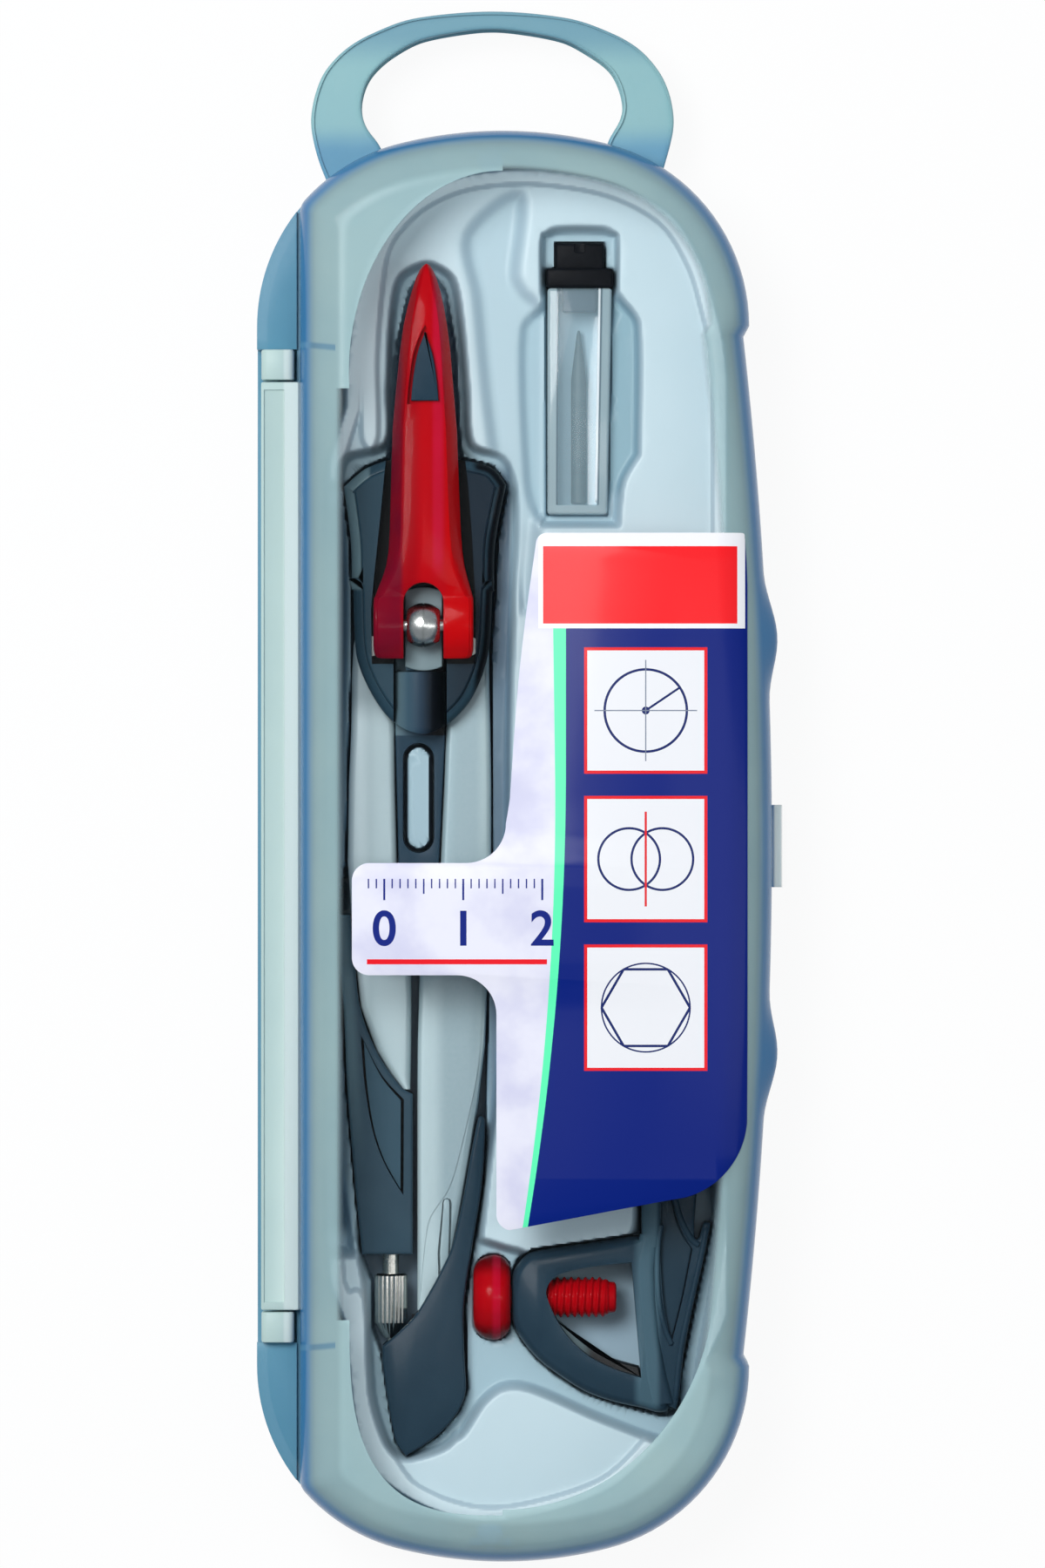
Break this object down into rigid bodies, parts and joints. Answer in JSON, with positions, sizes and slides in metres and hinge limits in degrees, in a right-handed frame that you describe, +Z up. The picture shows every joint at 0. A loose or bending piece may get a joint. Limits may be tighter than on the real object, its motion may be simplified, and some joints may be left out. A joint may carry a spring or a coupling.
{
  "type": "drafting instrument case",
  "caption": "Hinged translucent case with loop handle, holding a lever-locked compass, a screw-clamp adaptor and a lead box in a formed tray",
  "frame": {"origin": "middle of the case body's plan, on its flat underside", "axes": "+Z up out of the lid, +Y along the case to the loop handle, +X away from the hinge"},
  "size_m": [0.0676, 0.1976, 0.0221],
  "materials": {
    "case_plastic": "translucent blue polypropylene",
    "hinge_plastic": "natural milky polypropylene",
    "tray_sheet": "thin thermoformed sheet",
    "printed_film": "printed self-adhesive film",
    "dark_plastic": "satin moulded plastic",
    "red_plastic": "glossy moulded plastic",
    "grey_plastic": "satin moulded plastic",
    "leg_paint": "silver paint on die-cast metal",
    "steel": "ground steel",
    "chrome": "polished plating",
    "graphite": "drawing lead",
    "clear_plastic": "clear moulded plastic",
    "black_plastic": "black moulded plastic"
  },
  "bodies": {
    "base": {"case_base": "case_plastic", "hinge_blocks": "hinge_plastic", "insert_tray": "tray_sheet"},
    "lid": {"case_lid": "case_plastic", "hinge_bar": "hinge_plastic", "lid_label": "printed_film"},
    "compass": {"compass_core": "dark_plastic", "head_front_shield": "dark_plastic", "head_back_shield": "dark_plastic", "lever_pin": "steel", "tension_ball": "chrome", "cam_washer": "grey_plastic", "leg_pivots": "steel", "needle_leg": "leg_paint", "needle_leg_cladding": "dark_plastic", "needle_shaft": "steel", "needle": "steel", "lead_leg": "leg_paint", "lead_foot_cover": "dark_plastic", "compass_lead": "graphite"},
    "lever": {"lock_lever": "red_plastic", "lever_inlay": "dark_plastic"},
    "collet": {"knurled_collet": "chrome"},
    "adaptor": {"adaptor_body": "dark_plastic"},
    "screw": {"clamp_screw": "red_plastic"},
    "lead_box": {"lead_tube": "clear_plastic", "spare_lead": "graphite"},
    "cap": {"lead_cap": "black_plastic"}
  },
  "joints": [
    {"name": "lid_hinge", "type": "hinge", "parent": "base", "child": "lid", "pos_m": [-0.0287, 0, 0.0114], "axis": [0, -1, 0], "range_deg": [0, 180]},
    {"name": "compass_lift", "type": "slide", "parent": "base", "child": "compass", "axis": [0, 0, 1], "range_m": [0, 0.0315]},
    {"name": "adaptor_lift", "type": "slide", "parent": "base", "child": "adaptor", "axis": [0, 0, 1], "range_m": [0, 0.0315]},
    {"name": "lead_box_lift", "type": "slide", "parent": "base", "child": "lead_box", "axis": [0, 0, 1], "range_m": [0, 0.0315]},
    {"name": "lever_flip", "type": "hinge", "parent": "compass", "child": "lever", "pos_m": [-0.0101, 0.0281, 0.01455], "axis": [1, 0, 0], "range_deg": [0, 65]},
    {"name": "collet_turn", "type": "hinge", "parent": "compass", "child": "collet", "pos_m": [-0.01435, -0.06, 0.00645], "axis": [0, 1, 0], "continuous": true},
    {"name": "clamp_screw_turn", "type": "hinge", "parent": "adaptor", "child": "screw", "pos_m": [0.0011, -0.0577, 0.0077], "axis": [1, 0, 0], "continuous": true},
    {"name": "lead_cap_pull", "type": "slide", "parent": "lead_box", "child": "cap", "axis": [0, 1, 0], "range_m": [0, 0.0035]}
  ],
  "couplings": [
    {"joint": "compass_lift", "follows": "lid_hinge", "m_per_rad": 0.01},
    {"joint": "adaptor_lift", "follows": "lid_hinge", "m_per_rad": 0.01},
    {"joint": "lead_box_lift", "follows": "lid_hinge", "m_per_rad": 0.01},
    {"joint": "lever_flip", "follows": "lid_hinge", "ratio": 0.36},
    {"joint": "lead_cap_pull", "follows": "lid_hinge", "m_per_rad": 0.0011}
  ]
}
